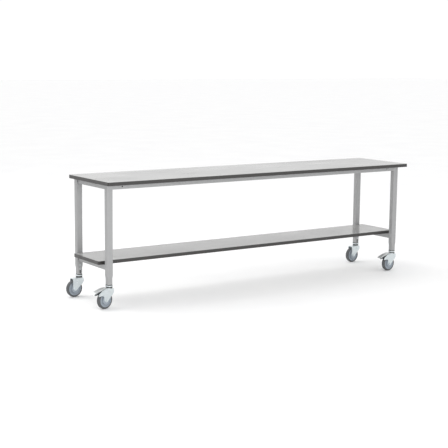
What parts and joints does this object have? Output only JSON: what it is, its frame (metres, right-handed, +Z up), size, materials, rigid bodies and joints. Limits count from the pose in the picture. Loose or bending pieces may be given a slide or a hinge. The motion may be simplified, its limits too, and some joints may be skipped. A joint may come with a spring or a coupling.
{
  "type": "mobile work table",
  "caption": "Long laminate-topped work table with a full-length lower shelf on a grey tube frame, standing on swivel castors, the front ones braked.",
  "frame": {"origin": "on the floor, under the middle of the worktop", "axes": "+X along the table's length, -Y towards the front (the side with the brake pedals), +Z up"},
  "size_m": [2.9029, 0.6, 0.9],
  "materials": {
    "laminate": "smooth satin laminate",
    "backing": "matt balancing laminate",
    "particle_board": "raw particle board",
    "edge_band": "fine-textured plastic edging",
    "powder_coat": "silver-grey powder coat",
    "zinc_steel": "bright zinc plating",
    "pedal_steel": "zinc-plated pressed steel",
    "bearing_steel": "polished steel",
    "grey_plastic": "moulded bluish grey plastic",
    "tyre_rubber": "soft dark grey tread",
    "black_plastic": "moulded black plastic"
  },
  "bodies": {
    "table": {"worktop_core": "particle_board", "worktop_laminate": "laminate", "worktop_backing": "backing", "worktop_edge_band": "edge_band", "shelf_core": "particle_board", "shelf_laminate": "laminate", "shelf_backing": "backing", "shelf_edge_band": "edge_band", "front_rail": "powder_coat", "rear_rail": "powder_coat", "left_top_rail": "powder_coat", "right_top_rail": "powder_coat", "front_left_leg": "powder_coat", "front_right_leg": "powder_coat", "rear_left_leg": "powder_coat", "rear_right_leg": "powder_coat", "left_shelf_beam": "powder_coat", "right_shelf_beam": "powder_coat", "rail_end_plates": "powder_coat", "rail_bolts": "zinc_steel", "worktop_tabs": "powder_coat", "worktop_screws": "zinc_steel", "shelf_screws": "zinc_steel", "leg_caps": "black_plastic", "castor_sockets": "black_plastic", "socket_screws": "zinc_steel", "castor_stems": "zinc_steel", "swivel_plates": "zinc_steel", "swivel_balls": "bearing_steel"},
    "front_left_castor": {"front_left_fork": "zinc_steel", "front_left_axle": "zinc_steel", "front_left_thread_guards": "grey_plastic", "front_left_brake_pin": "zinc_steel"},
    "front_left_wheel": {"front_left_tyre": "tyre_rubber", "front_left_wheel_core": "grey_plastic", "front_left_wheel_bearings": "bearing_steel"},
    "front_left_brake": {"front_left_brake_pedal": "pedal_steel", "front_left_brake_shoe": "black_plastic"},
    "front_right_castor": {"front_right_fork": "zinc_steel", "front_right_axle": "zinc_steel", "front_right_thread_guards": "grey_plastic", "front_right_brake_pin": "zinc_steel"},
    "front_right_wheel": {"front_right_tyre": "tyre_rubber", "front_right_wheel_core": "grey_plastic", "front_right_wheel_bearings": "bearing_steel"},
    "front_right_brake": {"front_right_brake_pedal": "pedal_steel", "front_right_brake_shoe": "black_plastic"},
    "rear_left_castor": {"rear_left_fork": "zinc_steel", "rear_left_axle": "zinc_steel", "rear_left_thread_guards": "grey_plastic"},
    "rear_left_wheel": {"rear_left_tyre": "tyre_rubber", "rear_left_wheel_core": "grey_plastic", "rear_left_wheel_bearings": "bearing_steel"},
    "rear_right_castor": {"rear_right_fork": "zinc_steel", "rear_right_axle": "zinc_steel", "rear_right_thread_guards": "grey_plastic"},
    "rear_right_wheel": {"rear_right_tyre": "tyre_rubber", "rear_right_wheel_core": "grey_plastic", "rear_right_wheel_bearings": "bearing_steel"}
  },
  "joints": [
    {"name": "front_left_swivel", "type": "hinge", "parent": "table", "child": "front_left_castor", "pos_m": [-1.3455, -0.202, 0.155], "axis": [0, 0, 1], "continuous": true},
    {"name": "front_left_wheel_spin", "type": "hinge", "parent": "front_left_castor", "child": "front_left_wheel", "pos_m": [-1.38722, -0.2124, 0.0625], "axis": [-0.2419, 0.9703, 0], "continuous": true},
    {"name": "front_left_brake_lever", "type": "hinge", "parent": "front_left_castor", "child": "front_left_brake", "pos_m": [-1.38625, -0.21216, 0.137], "axis": [-0.2419, 0.9703, 0], "range_deg": [0, 18]},
    {"name": "front_right_swivel", "type": "hinge", "parent": "table", "child": "front_right_castor", "pos_m": [1.3455, -0.202, 0.155], "axis": [0, 0, 1], "continuous": true},
    {"name": "front_right_wheel_spin", "type": "hinge", "parent": "front_right_castor", "child": "front_right_wheel", "pos_m": [1.30274, -0.20649, 0.0625], "axis": [-0.1045, 0.9945, 0], "continuous": true},
    {"name": "front_right_brake_lever", "type": "hinge", "parent": "front_right_castor", "child": "front_right_brake", "pos_m": [1.30373, -0.20639, 0.137], "axis": [-0.1045, 0.9945, 0], "range_deg": [0, 18]},
    {"name": "rear_left_swivel", "type": "hinge", "parent": "table", "child": "rear_left_castor", "pos_m": [-1.3455, 0.255, 0.155], "axis": [0, 0, 1], "continuous": true},
    {"name": "rear_left_wheel_spin", "type": "hinge", "parent": "rear_left_castor", "child": "rear_left_wheel", "pos_m": [-1.3884, 0.252, 0.0625], "axis": [-0.0698, 0.9976, 0], "continuous": true},
    {"name": "rear_right_swivel", "type": "hinge", "parent": "table", "child": "rear_right_castor", "pos_m": [1.3455, 0.255, 0.155], "axis": [0, 0, 1], "continuous": true},
    {"name": "rear_right_wheel_spin", "type": "hinge", "parent": "rear_right_castor", "child": "rear_right_wheel", "pos_m": [1.3026, 0.252, 0.0625], "axis": [-0.0698, 0.9976, 0], "continuous": true}
  ]
}
